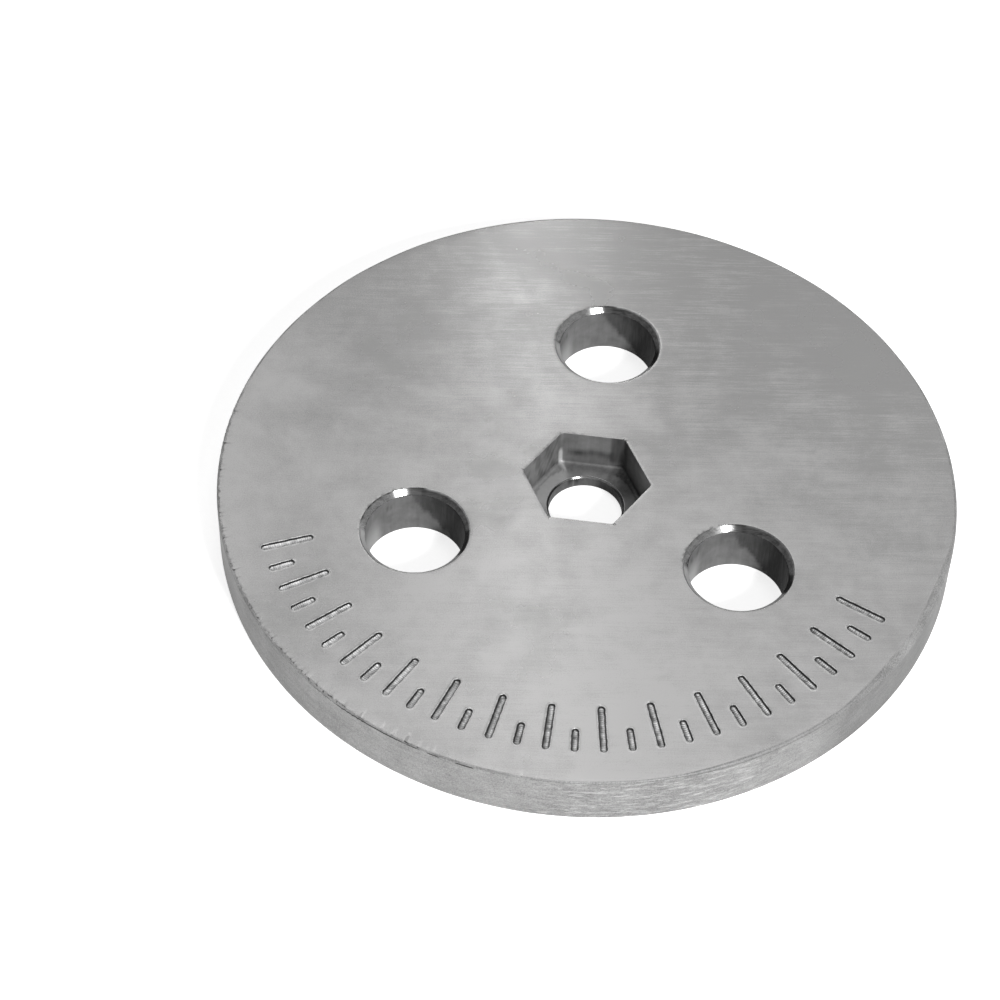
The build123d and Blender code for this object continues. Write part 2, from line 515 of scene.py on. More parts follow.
recessShape = {
    "acrossFlats": 14.35,
    "cornerRound": 0.6,
    "perSide": 24,
    "perCorner": 8,
    "floorHeight": mounts["bolt_head_seat"]["pos_m"][2] * 1000,
    "shankRadius": mounts["shank_hole"]["dims"]["r_mm"],
    "faceRows": (0.9, 0.5),  # out from the mouth
    "mouthSoft": 0.10,
    "wallRows": (0.5, 0.8, 11),  # the first one's depth, the last one's height over the floor, their count
    "floorRound": 0.5,
    "floorRows": 8,
    "shankBevel": 0.25,
    "bevelStrips": 7,  # strips between rows at the shank hole's edge that are cut bevel
    "wallRun": 7,  # millimetres for each radian, in the wall's own coordinates
    "nibbles": (0.0, 1.0, 20, 90, 41),
    "nibbleDepth": 0.035,
    "dirtRows": (0, 0.3, 0.75),
    "dirt": [(1.0, 108, 186, 12), (0.5, 60, 108, 8)],
    "dirtWaves": (0.8, 0.4, 10, 60, 66),
    # tones of the walls: dark smears on the far wall, real streaks and painted light on the left wall, and
    # painted shade on the right walls
    "wallStart": 0.4,  # over the floor
    "far": [(1.0, 68, 114, 4)],
    "smearHeight": (4.1, 0.25, 2, 12, 61), "smearWidth": 0.6, "smear": (0.8, 0.25, 4, 26, 62),
    "lowSmearHeight": 2.9, "lowSmearWidth": 0.45, "lowSmearShare": 0.1, "lowSmear": (0.5, 0.4, 6, 34, 64),
    "left": [(1.0, 126, 178, 5)],
    "leftStreaks": [(0.09, (0.0, 0.2, 8, 60, 63)), (-0.04, (0.0, 0.25, 4, 22, 65))],  # lean, wave
    "darkestStreak": 0.6,
    "leftTone": -0.08,
    "right": [(0.12, -30, 55, 4)],
    "rightCorner": [(1.0, 56, 68, 4)], "rightCornerStart": 1.9, "rightCornerTone": 0.8,
    # painted shade along the corner between wall and floor, and a painted highlight on the upright corner at
    # the far left
    "footHeight": 0.28, "footWidth": 0.36, "footReach": 6.6, "footGap": [(1.0, 119.4, 121, 0.8)],
    "footTone": 0.9, "footPale": [(-0.45, 128, 210, 10), (-0.7, 64, 119, 5)],
    "glossy": [(1.0, 120.1, 120.5, 0.45)], "glossyStart": 0.15, "glossyTone": 1.5,
    "glossyHeight": (2.9, 1.2, 1.5),  # its middle, half its height, and the share there before the cut
    "glossyFoot": [(0.5, 119, 121.6, 2)],
    "glossyFootReach": (5.6, 1.2),  # where it starts, and the soft width after that
    # painted shade and painted light on the floor, and painted shade in the shank hole, paler where the glint
    # is
    "floorFar": [(1.0, 66, 118, 8)], "floorFarTone": 0.12, "floorFarRim": (0.22, 6.35, 0.45),
    "floorTones": [(0.4, 28, 62, 8), (-0.32, 128, 200, 16)],
    "shankTone": 0.76, "shankPale": [(-0.32, 84, 200, 14)],
    "glint": [(0.45, 108, 123, 3)], "glintPale": [(-0.5, 114.4, 115.4, 1.0)], "glintDepth": 0.35,
}


def recessPaintedLightAndStain(around, aloft, reach):
    # Dark smears and real streaks on the walls, with painted light on the left and painted shade on the right,
    # a painted shadow along the foot with a painted highlight on the far left corner, a floor in three tones
    # of painted light and shade, and a shank hole darkened by painted shade, with a glint: zones round the
    # axis times bands of height and of reach, added up.
    shape = recessShape
    over = aloft - shape["floorHeight"]
    onWall, inShank = over > shape["wallStart"], over < -0.01
    onFloor = (over > -0.01) & ~onWall
    smear = bell(aloft, swell(around, shape["smearHeight"]), shape["smearWidth"])
    smear = smear * np.clip(swell(around, shape["smear"]), 0.1, 1)
    lowSmear = shape["lowSmearShare"] * bell(aloft, shape["lowSmearHeight"], shape["lowSmearWidth"])
    smear = smear + lowSmear * np.clip(swell(around, shape["lowSmear"]), 0, 1)
    far = zones(around, shape["far"]) * onWall * smear
    streaks = sum(swell(around + lean * aloft, wave) for lean, wave in shape["leftStreaks"])
    streaks = np.clip(streaks, 0, shape["darkestStreak"]) + shape["leftTone"]
    left = zones(around, shape["left"]) * onWall * streaks
    cornerShare = shape["rightCornerTone"] * np.clip(aloft - shape["rightCornerStart"], 0, 1)
    right = zones(around, shape["right"]) + zones(around, shape["rightCorner"]) * cornerShare
    foot = bell(over, shape["footHeight"], shape["footWidth"]) * (reach > shape["footReach"])
    footTone = shape["footTone"] + zones(around, shape["footPale"])
    foot = foot * (1 - zones(around, shape["footGap"])) * footTone
    # painted highlight on the far left upright corner, running on along the floor
    glossy = zones(around, shape["glossy"]) * (over > shape["glossyStart"]) * shape["glossyTone"]
    middle, half, most = shape["glossyHeight"]
    glossy = glossy * np.clip(most - np.abs(aloft - middle) / half, 0, 1)
    footStart, footSoft = shape["glossyFootReach"]
    footShare = (np.abs(over) < shape["glossyStart"] + 0.01) * np.clip((reach - footStart) / footSoft, 0, 1)
    glossy = glossy + zones(around, shape["glossyFoot"]) * footShare
    rimTone, rimReach, rimWidth = shape["floorFarRim"]
    farTone = shape["floorFarTone"] + rimTone * bell(reach, rimReach, rimWidth)
    floorFar = zones(around, shape["floorFar"]) * farTone
    floor = onFloor * (floorFar + zones(around, shape["floorTones"]))
    glint = zones(around, shape["glint"]) * (over > -shape["glintDepth"]) + zones(around, shape["glintPale"])
    shank = inShank * (shape["shankTone"] + zones(around, shape["shankPale"]) + glint)
    return np.clip(far + left + right * (1 - shank) + foot + floor - glossy + shank, -1, 1)


def buildRecess(skin):
    # A round-cornered hexagon carried down, a floor whose rows run in straight lines from the hexagon to the
    # round shank hole, and the shank hole as a bevelled profile carried round the axis.
    shape = recessShape
    floorHeight, shankRadius, cornerRound = shape["floorHeight"], shape["shankRadius"], shape["cornerRound"]
    counts = shape["perSide"], shape["perCorner"]
    spine, outward, angle = hexagonColumns(shape["acrossFlats"], cornerRound, *counts)
    rowStart, rowEnd, rowCount = shape["wallRows"]
    rowHeights = np.linspace(faceTop - rowStart, floorHeight + rowEnd, rowCount)
    wall = softened(
        [(cornerRound + step, faceTop, 0) for step in shape["faceRows"]]
        + [(cornerRound, faceTop, shape["mouthSoft"])]
        + [(cornerRound, height, 0) for height in rowHeights]
        + [(cornerRound, floorHeight, shape["floorRound"])]
        + [(cornerRound - shape["floorRound"] - 0.02, floorHeight, 0)], 7)
    depth = faceTop - wall[:, 1:]
    nibbled = np.clip(swell(angle, shape["nibbles"]), 0, 2)[None] * shape["nibbleDepth"]
    nibbled = nibbled * ((depth > 0.001) & (depth < 0.099))
    wallPoints = carried(spine, outward, wall[:, :1] + nibbled, wall[:, 1:])

    around = np.unwrap(np.arctan2(wallPoints[-1, :, 1], wallPoints[-1, :, 0]))
    shankEdge = shankRadius + shape["shankBevel"]
    inner = facing(around)
    t = np.linspace(0, 1, shape["floorRows"] + 1)[1:, None, None]
    flat = (1 - t) * wallPoints[-1, None, :, :2] + t * (inner * (shankEdge + 0.08))[None]
    floorPoints = np.concatenate([flat, np.full(flat.shape[:2] + (1,), floorHeight)], 2)
    bevel, soft = disc["backBevel"], disc["backSoft"]
    shank = softened(
        [(shankEdge + 0.09, floorHeight, 0), (shankEdge, floorHeight, soft)]
        + [(shankRadius, floorHeight - shape["shankBevel"], soft)]
        + [(shankRadius, bevel, soft), (shankRadius + bevel, 0, soft)]
        + [(shankRadius + step, 0, 0) for step in disc["backRows"]])[1:]
    shankPoints = carried(np.zeros_like(inner), inner, shank[:, :1], shank[:, 1:])

    points = np.concatenate([wallPoints, floorPoints, shankPoints])
    inside = len(wallPoints) + len(floorPoints) - 4  # strips from the fourth row down to the floor's last one
    first = [faceFinish] * 3 + [recessFinish] * inside + [bevelFinish] * shape["bevelStrips"]
    bands = banded(len(points), first, boreFinish, [backFinish] * 2)
    # painted shade, painted light and real streaks on the recess
    stain = recessPaintedLightAndStain(around, points[..., 2], np.linalg.norm(points[..., :2], axis=2))
    dirtRows = np.zeros((len(points), 1))
    dirtRows[:len(shape["dirtRows"]), 0] = shape["dirtRows"]
    dirt = dirtRows * zones(around, shape["dirt"]) * np.clip(swell(around, shape["dirtWaves"]), 0, 1)
    own = uprightRun(points, around * shape["wallRun"])
    return skin.grid(points, own, dirt, bands, inward=True, stain=stain)


markShape = {
    "outerRadius": discRadius - 4.5,
    "longLength": 6.8,
    "shortLength": 3.4,
    "longCount": 15,
    "pitch": 9.4,  # degrees between two long marks
    "middleAngle": -90.0,
    "halfWidth": 0.45,
    "depth": 0.38,
    "lip": 0.035,  # burr pushed up on both sides
    "perMillimetre": 4,
    "perEnd": 8,
    # profiles: distance from the spine, and a share of the burr's height or of the depth
    "lipProfile": [(0.84, 0), (0.74, 0), (0.64, 0.45), (0.56, 1.0), (0.50, 0.9), (0.46, 0.2)],
    "grooveProfile": [(0.435, -0.18), (0.40, -0.48), (0.345, -0.80), (0.27, -0.96), (0.14, -1.0), (0.0, -1.0)],
    "lipWaves": (0.62, 0.3, 1, 14, 11),
    "wobble": (0.0, 1.0, 3, 22, 111),
    "wobbleSize": 0.014,
    "wobbleShares": [(0.0, 0), (0.3, 0.6), (0.46, 1), (0.7, 0)],  # distance from the spine, share
    # painted shade on the side that faces this way, and a painted tone of light and shade for each bearing, in
    # degrees
    "darkSide": (-0.98, -0.2),
    "darkShare": 1.2,
    "tones": [(-165, -0.9), (-126, -0.7), (-116, -0.2), (-104, 0.2), (-88, 0.4), (-20, 0.5)],
    "wobbleTone": 0.15,
}


def markPlaces():
    # Length and bearing of each mark: the long ones a pitch apart about the middle, the short ones between.
    places = []
    for length, count in ((markShape["longLength"], markShape["longCount"]),
                          (markShape["shortLength"], markShape["longCount"] - 1)):
        first = markShape["middleAngle"] - markShape["pitch"] * (count - 1) / 2
        places += [(length, first + markShape["pitch"] * k) for k in range(count)]
    return places


def buildMark(skin, k, length, bearing):
    # A groove with pushed-up lips carried round a slot, then turned to its place on the arc.
    shape = markShape
    perSide = int(length * shape["perMillimetre"])
    spine, outward = strokeColumns(length / 2 - shape["halfWidth"], perSide, shape["perEnd"])[:2]
    along = np.linspace(0, 2 * np.pi, len(spine))
    wobble = swell(along, shape["wobble"], k)
    lipHeight = shape["lip"] * np.clip(swell(along, shape["lipWaves"], k), 0.1, 1)
    lip, groove = np.array(shape["lipProfile"]), np.array(shape["grooveProfile"])
    distance = np.concatenate([lip, groove])[:, :1]
    grooveHeight = groove[:, 1:] * shape["depth"] * np.ones(len(spine))
    height = np.concatenate([lip[:, 1:] * lipHeight, grooveHeight]) + faceTop
    stray = between(distance, shape["wobbleShares"]) * shape["wobbleSize"] * wobble[None]
    local = carried(spine, outward, distance + stray, height)

    direction = np.radians(bearing)
    ahead = np.array([math.cos(direction), math.sin(direction)])
    side = np.array([-ahead[1], ahead[0]])
    middle = ahead * (shape["outerRadius"] - length / 2)
    points = local.copy()
    points[..., :2] = middle + local[..., :1] * ahead + local[..., 1:2] * side
    deep = np.clip((faceTop - local[..., 2]) / shape["depth"], 0, 1)
    # painted shade on one side of the groove and painted light and shade by bearing, with a random tone
    darkness = (outward @ np.stack([ahead, side])) @ shape["darkSide"] * distance / shape["halfWidth"]
    tone = between(bearing, shape["tones"])
    stain = np.clip(shape["darkShare"] * darkness + tone + shape["wobbleTone"] * wobble, -1, 1)
    bands = banded(len(distance), [faceFinish] * 3, markFinish)
    return skin.grid(points, local[..., :2], deep, bands, inward=True, stain=stain)


skin = Skin()
grids = [buildRim(skin)]
print("stage 2: the rim is turned")
grids += [buildHole(skin, k) for k in range(holeShape["count"])] + [buildRecess(skin)]
print("stage 3: the holes and the recess are cut")
marks = [buildMark(skin, k, length, bearing) for k, (length, bearing) in enumerate(markPlaces())]
print("stage 4:", len(marks), "marks are cut")
skin.sheet([grid[0] for grid in grids + marks], faceFinish, upward=True)
skin.sheet([grid[-1] for grid in grids], backFinish, upward=False)
print("stage 5: the face and the back are filled")


def fill(tree, sockets, inputs):
    # Links each named socket where it is given another socket, and sets its value otherwise.
    for key, value in inputs.items():
        if isinstance(value, bpy.types.NodeSocket):
            tree.links.new(value, sockets[key])
        else:
            sockets[key].default_value = value


def place(tree, kind, inputs=None, **settings):
    # Adds a node, sets its properties and fills its sockets.
    made = tree.nodes.new(kind)
    for key, value in settings.items():
        setattr(made, key, value)
    fill(tree, made.inputs, inputs or {})
    return made


def arithmetic(tree, operation, first, second=0.0, third=0.0):
    # One Math node on up to three values.
    return place(tree, "ShaderNodeMath", {0: first, 1: second, 2: third}, operation=operation).outputs[0]


def remapped(tree, value, start, end, low=0.0, high=1.0):
    # A value taken in a straight line from start and end to low and high, and kept between them.
    inputs = {"Value": value, "From Min": start, "From Max": end, "To Min": low, "To Max": high}
    return place(tree, "ShaderNodeMapRange", inputs).outputs[0]


def noise(tree, vector, scale, detail=2.0, **more):
    # Noise from nought to one; more names further sockets.
    inputs = {"Vector": vector, "Scale": scale, "Detail": detail, **more}
    return place(tree, "ShaderNodeTexNoise", inputs).outputs[0]


def split(tree, vector):
    # The three parts of a vector.
    return place(tree, "ShaderNodeSeparateXYZ", {0: vector}).outputs


def joined(tree, x, y, z):
    # A vector made of three parts.
    return place(tree, "ShaderNodeCombineXYZ", {0: x, 1: y, 2: z}).outputs[0]


def multiplied(tree, first, second):
    # Two vectors multiplied part by part.
    return place(tree, "ShaderNodeVectorMath", {0: first, 1: second}, operation="MULTIPLY").outputs[0]


def attribute(tree, name):
    # A value that the mesh holds for each point.
    return place(tree, "ShaderNodeAttribute", attribute_name=name).outputs["Fac"]


def varied(tree, factor, pattern, share):
    # The factor plus the share times the pattern's distance from a half.
    return arithmetic(tree, "MULTIPLY_ADD", arithmetic(tree, "SUBTRACT", pattern, 0.5), share, factor)


def blended(tree, factor, first, second, mode="MIX"):
    # Two colours mixed by a factor. A Mix node has its colour sockets at 6 and 7, and the result at 2.
    made = place(tree, "ShaderNodeMix", data_type="RGBA", blend_type=mode)
    fill(tree, made.inputs, {0: factor, 6: first, 7: second})
    return made.outputs[2]


def grey(value, warmth=0.0):
    # A grey whose red is raised and whose blue is lowered by the warmth.
    return (value * (1 + warmth), value, value * (1 - warmth), 1.0)


def stained(tree, colour, dark, pale):
    # Mixes in the dark colour, of painted shade and stains, where the stain attribute is above nought, and the
    # pale one, of painted light, where it is below.
    stain = attribute(tree, "stain")
    colour = blended(tree, remapped(tree, stain, 0.0, 1.0), colour, dark)
    return blended(tree, remapped(tree, stain, 0.0, -1.0), colour, pale)


def bumped(tree, shader, height, distance):
    # Turns a height into the shader's normal.
    made = place(tree, "ShaderNodeBump", {"Height": height, "Distance": distance, "Strength": 1.0})
    tree.links.new(made.outputs[0], shader.inputs["Normal"])


def startGroup(name, inputs, outputs):
    # A shader group with the named sockets; a vector socket has a tuple as its value.
    tree = bpy.data.node_groups.new(name, "ShaderNodeTree")
    for key, value in inputs.items():
        kind = "NodeSocketVector" if isinstance(value, tuple) else "NodeSocketFloat"
        made = tree.interface.new_socket(key, in_out="INPUT", socket_type=kind)
        made.default_value = value
    for key in outputs:
        tree.interface.new_socket(key, in_out="OUTPUT", socket_type="NodeSocketFloat")
    return tree, tree.nodes.new("NodeGroupInput").outputs, tree.nodes.new("NodeGroupOutput").inputs


def brushingGroup():
    # Fine lines plus a share of coarse ones: noise on coordinates divided by a long and a short length. The
    # height is the square of the lines.
    inputs = {"Vector": (0.0, 0.0, 0.0), "Line Length": 0.03, "Line Width": 0.0003, "Unevenness": 0.5}
    tree, given, result = startGroup("brushing", inputs, ["Lines", "Height"])
    along = arithmetic(tree, "DIVIDE", 1.0, given["Line Length"])
    across = arithmetic(tree, "DIVIDE", 1.0, given["Line Width"])
    stretched = multiplied(tree, given["Vector"], joined(tree, along, across, across))
    fine = noise(tree, stretched, 1.0, 3.0, Roughness=0.65)
    coarse = noise(tree, multiplied(tree, stretched, (0.35, 0.17, 0.17)), 1.0, 1.0)
    share = arithmetic(tree, "MULTIPLY", given["Unevenness"], arithmetic(tree, "SUBTRACT", coarse, 0.5))
    lines = arithmetic(tree, "ADD", fine, share)
    tree.links.new(lines, result["Lines"])
    tree.links.new(arithmetic(tree, "MULTIPLY", lines, lines), result["Height"])
    return tree


def cloudingGroup():
    # Soft patches: two sizes of noise added, and their distance from the middle times the contrast.
    inputs = {"Vector": (0.0, 0.0, 0.0), "Patch Size": 0.01, "Contrast": 1.0}
    tree, given, result = startGroup("clouding", inputs, ["Patches"])
    scale = arithmetic(tree, "DIVIDE", 1.0, given["Patch Size"])
    large = noise(tree, given["Vector"], scale, 2.0, Distortion=0.4)
    small = noise(tree, given["Vector"], arithmetic(tree, "MULTIPLY", scale, 3.1), 3.0, Roughness=0.6)
    both = arithmetic(tree, "MULTIPLY_ADD", small, 0.45, arithmetic(tree, "MULTIPLY", large, 0.75))
    centred = arithmetic(tree, "SUBTRACT", both, 0.6)
    tree.links.new(arithmetic(tree, "MULTIPLY_ADD", centred, given["Contrast"], 0.5), result["Patches"])
    return tree


def grimeAndCreaseShadowGroup():
    # Dirt in broken places, and painted shadow in folds: the wear times fine noise, cut to a mask by a smooth
    # step.
    inputs = {"Wear": 0.0, "Vector": (0.0, 0.0, 0.0), "Grain Size": 0.0004, "Start": 0.3, "End": 0.8}
    tree, given, result = startGroup("grime", inputs, ["Mask"])
    scale = arithmetic(tree, "DIVIDE", 1.0, given["Grain Size"])
    grain = noise(tree, given["Vector"], scale)
    total = arithmetic(tree, "MULTIPLY", given["Wear"], arithmetic(tree, "ADD", grain, 0.5))
    inputs = {"Value": total, "From Min": given["Start"], "From Max": given["End"]}
    mask = place(tree, "ShaderNodeMapRange", inputs, interpolation_type="SMOOTHSTEP").outputs[0]
    tree.links.new(mask, result["Mask"])
    return tree


brushing, clouding, grime = brushingGroup(), cloudingGroup(), grimeAndCreaseShadowGroup()


def groupOut(tree, group, inputs, output):
    # Places a group with its own values and gives one of its outputs.
    made = place(tree, "ShaderNodeGroup", node_tree=group)
    fill(tree, made.inputs, inputs)
    return made.outputs[output]


def brushed(tree, vector, length, width, unevenness, output="Lines"):
    # The brushing group with these values.
    inputs = {"Vector": vector, "Line Length": length, "Line Width": width, "Unevenness": unevenness}
    return groupOut(tree, brushing, inputs, output)


def clouded(tree, vector, size, contrast):
    # The clouding group with these values.
    return groupOut(tree, clouding, {"Vector": vector, "Patch Size": size, "Contrast": contrast}, "Patches")


def dirtAndCreaseShadow(tree, spot, colour, look):
    # The colour with the look's dirt grey mixed in where the wear attribute is high: dirt in broken places,
    # and painted shadow in the rim's folds.
    start, end, grainSize = look["dirtMask"]
    inputs = {"Wear": attribute(tree, "wear"), "Vector": spot}
    inputs.update({"Grain Size": grainSize, "Start": start, "End": end})
    return blended(tree, groupOut(tree, grime, inputs, "Mask"), colour, grey(look["dirt"]))


def startFinish(name, look):
    # A Principled finish whose constant values sit on the shader's own sockets.
    material = bpy.data.materials.new(name)
    material.use_nodes = True
    tree = material.node_tree
    shader = tree.nodes["Principled BSDF"]
    for socket, key in (("Roughness", "roughness"), ("Metallic", "metallic"), ("Anisotropic", "anisotropic"),
                        ("Specular IOR Level", "specular")):
        shader.inputs[socket].default_value = look.get(key, shader.inputs[socket].default_value)
    shader.inputs["Specular Tint"].default_value = grey(look.get("edgeTint", 1.0))
    spot = place(tree, "ShaderNodeTexCoord").outputs["Object"]
    if look.get("anisotropic"):
        tangent = place(tree, "ShaderNodeTangent", direction_type="UV_MAP", uv_map="grainRun").outputs[0]
        tree.links.new(tangent, shader.inputs["Tangent"])
    return material, tree, shader, spot


# In the dictionaries of finishes, tones are greys in linear light and lengths are in metres. A ramp is a
# start and an end, and the values there.
faceLook = {
    "dark": 0.265, "light": 0.405, "warmth": 0.006, "roughness": 0.26, "metallic": 0.5, "anisotropic": 0.92,
    "patchSize": 0.013, "patchContrast": 1.55,
    "smudges": 0.75, "smudgeSize": 0.0039, "smudgeContrast": 1.2,
    "lineLength": 0.006, "lineWidth": 0.00015, "lineUnevenness": 0.35, "lineShare": 1.6,
    "bump": 1.5e-6, "bumpLength": 0.0036, "bumpUnevenness": 0.4,
    "grain": 0.00016,
    # a painted pool of light on the near part of the face
    "cleanSpot": (0.005, -0.035, 0.0074), "cleanReach": 0.075, "cleanShare": 0.5,
    "lineRampAside": (-0.042, -0.008, 0.25, 1.0),
    "lineRampAhead": (0.0, 0.035, 0.55, 1.45),
    "grainRamp": (-0.04, 0.02, 1.7, 1.275),
    # painted light on the left edge, and painted light falling to painted shade from left to right
    "paleEdge": (-0.047, -0.036, 0.6, 0.0),
    "leftTone": (-0.035, 0.035, 0.15, -0.15),
    "roughnessRamp": (0.0, 1.0, 0.03, -0.02),
    "dirt": 0.11, "dirtMask": (0.25, 1.2, 0.00022),
}
backLook = dict(faceLook, dark=0.29, light=0.41, roughness=0.42, lineShare=0.6, cleanShare=0.05)


def faceMaterial(name, look, seed):
    # Brushed zinc. Patches, lines, grain and smudges, a painted pool of light, painted light that falls off
    # from left to right and a painted pale left edge add up to the factor that mixes two greys. The lines are
    # stronger on the right and the far side. They also move the normal, the patches change the roughness, and
    # dirt lies where the wear is high.
    material, tree, shader, spot = startFinish(name, look)
    turned = place(tree, "ShaderNodeMapping", {
        "Vector": spot, "Location": (seed, 0.0, 0.0),
        "Rotation": (0.0, 0.0, math.radians(-disc["brushingTurn"]))}).outputs[0]
    lines = brushed(tree, turned, look["lineLength"], look["lineWidth"], look["lineUnevenness"])
    height = brushed(tree, turned, look["bumpLength"], look["lineWidth"], look["bumpUnevenness"], "Height")
    patches = clouded(tree, turned, look["patchSize"], look["patchContrast"])
    smudges = clouded(tree, turned, look["smudgeSize"], look["smudgeContrast"])
    measured = place(tree, "ShaderNodeVectorMath", {0: spot, 1: look["cleanSpot"]}, operation="DISTANCE")
    away = measured.outputs["Value"]
    # painted pool of light round the spot
    paintedLight = remapped(tree, away, 0.0, look["cleanReach"], look["cleanShare"], -look["cleanShare"])
    aside, ahead = split(tree, spot)[:2]
    lined = arithmetic(tree, "MULTIPLY", remapped(tree, aside, *look["lineRampAside"]),
                       remapped(tree, ahead, *look["lineRampAhead"]))
    grain = noise(tree, spot, 1 / look["grain"])
    share = arithmetic(tree, "MULTIPLY", lined, look["lineShare"])
    factor = varied(tree, patches, lines, share)
    factor = varied(tree, factor, grain, remapped(tree, aside, *look["grainRamp"]))
    factor = arithmetic(tree, "ADD", factor, remapped(tree, aside, *look["paleEdge"]))
    factor = arithmetic(tree, "ADD", factor, remapped(tree, aside, *look["leftTone"]))
    factor = arithmetic(tree, "ADD", factor, paintedLight)
    factor = varied(tree, factor, smudges, look["smudges"])
    colour = blended(tree, factor, grey(look["dark"], look["warmth"]), grey(look["light"], look["warmth"]))
    tree.links.new(dirtAndCreaseShadow(tree, spot, colour, look), shader.inputs["Base Color"])
    start, end, low, high = look["roughnessRamp"]
    rough = remapped(tree, patches, start, end, look["roughness"] + low, look["roughness"] + high)
    tree.links.new(rough, shader.inputs["Roughness"])
    bumped(tree, shader, arithmetic(tree, "MULTIPLY", height, lined), look["bump"])
    return material


rimLook = {
    # The darkest grey here paints the shade on the right of the rim.
    "dark": 0.25, "light": 0.50, "warmth": 0.004, "stained": 0.12, "roughness": 0.45, "metallic": 0.45,
    "anisotropic": 0.4, "specular": 0.25, "edgeTint": 0.25,
    "lineLength": 0.0018, "lineWidth": 0.0001, "lineUnevenness": 0.35, "lineShare": 1.2, "lineBend": 0.03,
    "patchSize": 0.005, "patchContrast": 1.0,
    "grain": 0.00018, "grainShare": 1.7, "grainHeight": 0.6, "bump": 6e-6,
    "scratch": 0.70, "scratchLength": 0.0010, "scratchWidth": 0.00008, "scratchUnevenness": 0.5,
    "scratchRamp": (0.53, 0.68), "betweenScratches": 0.82,
    # The dirt grey also paints the shadow in the folds under the corner.
    "dirt": 0.035, "dirtMask": (0.25, 0.9, 0.0003),
}
cornerLook = dict(rimLook, dark=0.17, light=0.47, roughness=0.55, metallic=0.4, anisotropic=0.0, lineShare=0.6,
                  grainShare=1.3, dirt=0.08, dirtMask=(0.42, 0.9, 0.0002), bump=1.4e-5)


def turnedLines(tree, spot, look):
    # Lines round the disc are noise that is fine upwards and long across. With patches and a fine grain they
    # give the factor that mixes two greys. Pale scratches over a darker ground make the second colour, and
    # lines plus grain the height.
    parts = split(tree, spot)
    laid = joined(tree, parts[0], parts[2], arithmetic(tree, "MULTIPLY", parts[1], look["lineBend"]))
    lines = brushed(tree, laid, look["lineLength"], look["lineWidth"], look["lineUnevenness"])
    patches = clouded(tree, spot, look["patchSize"], look["patchContrast"])
    grain = noise(tree, spot, 1 / look["grain"])
    factor = varied(tree, patches, lines, look["lineShare"])
    factor = varied(tree, factor, grain, look["grainShare"])
    colour = blended(tree, factor, grey(look["dark"], look["warmth"]), grey(look["light"], look["warmth"]))
    dashes = brushed(tree, laid, look["scratchLength"], look["scratchWidth"], look["scratchUnevenness"])
    ground = blended(tree, 1.0, colour, grey(look["betweenScratches"]), "MULTIPLY")
    scratches = blended(tree, remapped(tree, dashes, *look["scratchRamp"]), ground, grey(look["scratch"]))
    return colour, scratches, arithmetic(tree, "MULTIPLY_ADD", grain, look["grainHeight"], lines)


def rimMaterial(name, look):
    # Turned zinc: darkened by painted shade where the stain is above nought, paled by painted light in its
    # scratched colour where it is below, dirty in chips, and with a painted shadow in the dents of the folds.
    material, tree, shader, spot = startFinish(name, look)
    colour, scratches, height = turnedLines(tree, spot, look)
    colour = stained(tree, colour, grey(look["stained"]), scratches)
    tree.links.new(dirtAndCreaseShadow(tree, spot, colour, look), shader.inputs["Base Color"])
    bumped(tree, shader, height, look["bump"])
    return material


# The darkest grey and the streaks in it paint shade, and the pale grey paints light.
boreLook = {
    "dark": 0.13, "light": 0.275, "stained": 0.004, "streak": 0.036, "pale": 0.42,
    "roughness": 0.6, "metallic": 0.0, "specular": 0.1, "bump": 6e-6,
    "streakRamp": (0.42, 0.7), "streakScale": 1900.0, "streakStretch": 0.12, "streakShare": 0.5,
    "patchSize": 0.0035, "patchContrast": 1.6,
}
recessLook = dict(boreLook, dark=0.125, light=0.27, stained=0.03, streak=0.08, pale=0.62, roughness=0.42,
                  metallic=0.2, specular=0.2, streakRamp=(0.35, 0.7), bump=5e-6)


def wallMaterial(name, look):
    # Dull zinc walls: patches and upright streaks, from noise that is long in height, and streaky dark and
    # pale tones that are mostly painted shade and painted light.
    material, tree, shader, spot = startFinish(name, look)
    parts = split(tree, spot)
    low = arithmetic(tree, "MULTIPLY", parts[2], look["streakStretch"])
    streaks = noise(tree, joined(tree, parts[0], parts[1], low), look["streakScale"], Roughness=0.6)
    patches = clouded(tree, spot, look["patchSize"], look["patchContrast"])
    factor = varied(tree, patches, streaks, look["streakShare"])
    colour = blended(tree, factor, grey(look["dark"]), grey(look["light"]))
    streaked = remapped(tree, streaks, *look["streakRamp"])
    dark = blended(tree, streaked, grey(look["stained"]), grey(look["streak"]))
    tree.links.new(stained(tree, colour, dark, grey(look["pale"])), shader.inputs["Base Color"])
    bumped(tree, shader, streaks, look["bump"])
    return material


bevelLook = {
    # The darkest greys paint the reflection on the bevel's dark side, and the pale one paints light on its
    # rubbed side.
    "dark": 0.16, "light": 0.30, "stained": 0.02, "streak": 0.075, "pale": 0.44,
    "roughness": 0.16, "metallic": 0.9,
    "lineLength": 0.004, "lineWidth": 0.00012, "lineUnevenness": 0.5, "lineRamp": (0.35, 0.65),
    "rubbedRoughness": 0.5, "rubbedMetallic": 0.25,
}


